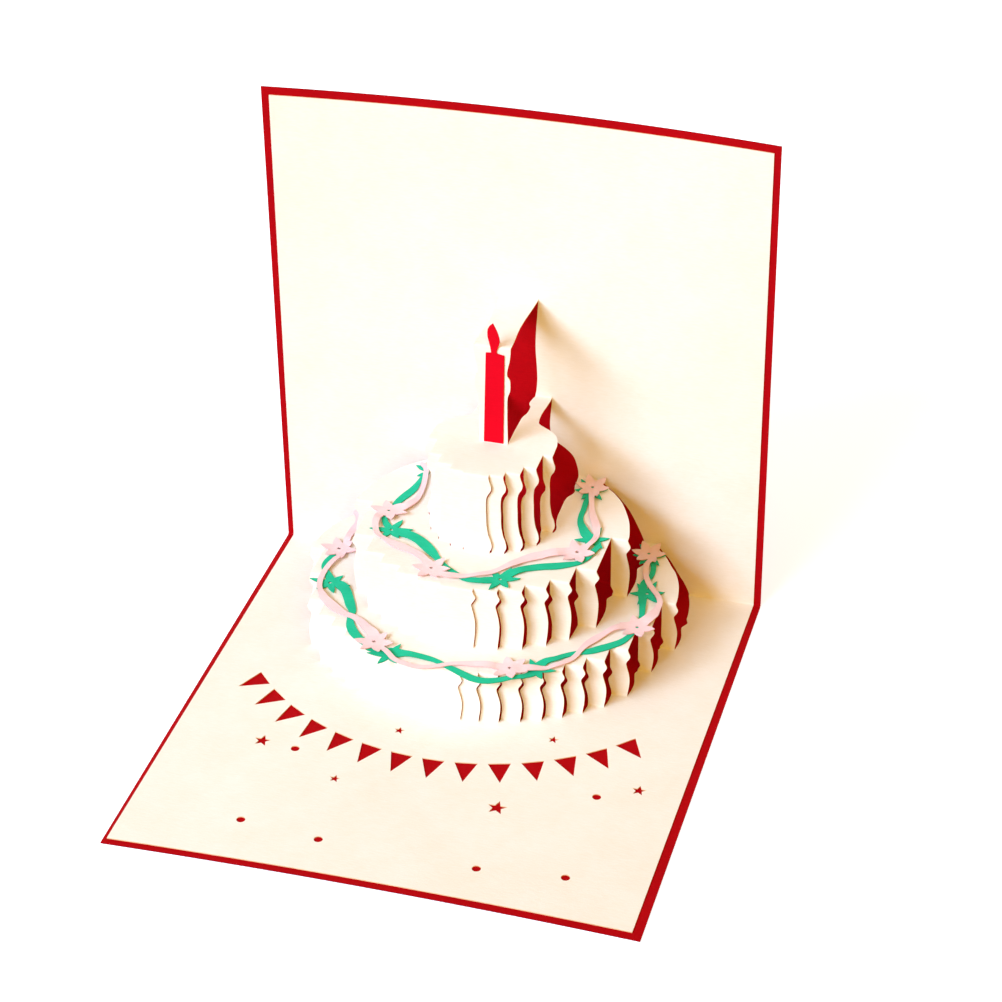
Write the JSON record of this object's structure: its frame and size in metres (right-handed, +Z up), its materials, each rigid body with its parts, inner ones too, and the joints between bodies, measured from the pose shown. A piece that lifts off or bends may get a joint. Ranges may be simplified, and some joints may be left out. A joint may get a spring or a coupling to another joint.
{
  "type": "pop-up greeting card",
  "caption": "Square folded greeting card standing open at a right angle, with a die-cut tiered cake that rises from the fold, woven paper garlands and a paper candle on top.",
  "frame": {"origin": "centre of the bounding box at the surface that the card stands on", "axes": "+Z up, X along the fold, -Y towards the front edge of the flat half"},
  "size_m": [0.15, 0.1536, 0.1537],
  "materials": {
    "cover_card": "matte red card stock",
    "inner_card": "matte cream card stock",
    "candle_paper": "matte bright red paper",
    "vine_paper": "matte green paper",
    "ribbon_paper": "matte pale pink paper"
  },
  "bodies": {
    "root": {"cover": "cover_card", "inner_sheet": "inner_card", "candle": "candle_paper", "lower_vine": "vine_paper", "lower_ribbon": "ribbon_paper", "upper_vine": "vine_paper", "upper_ribbon": "ribbon_paper"}
  },
  "joints": []
}
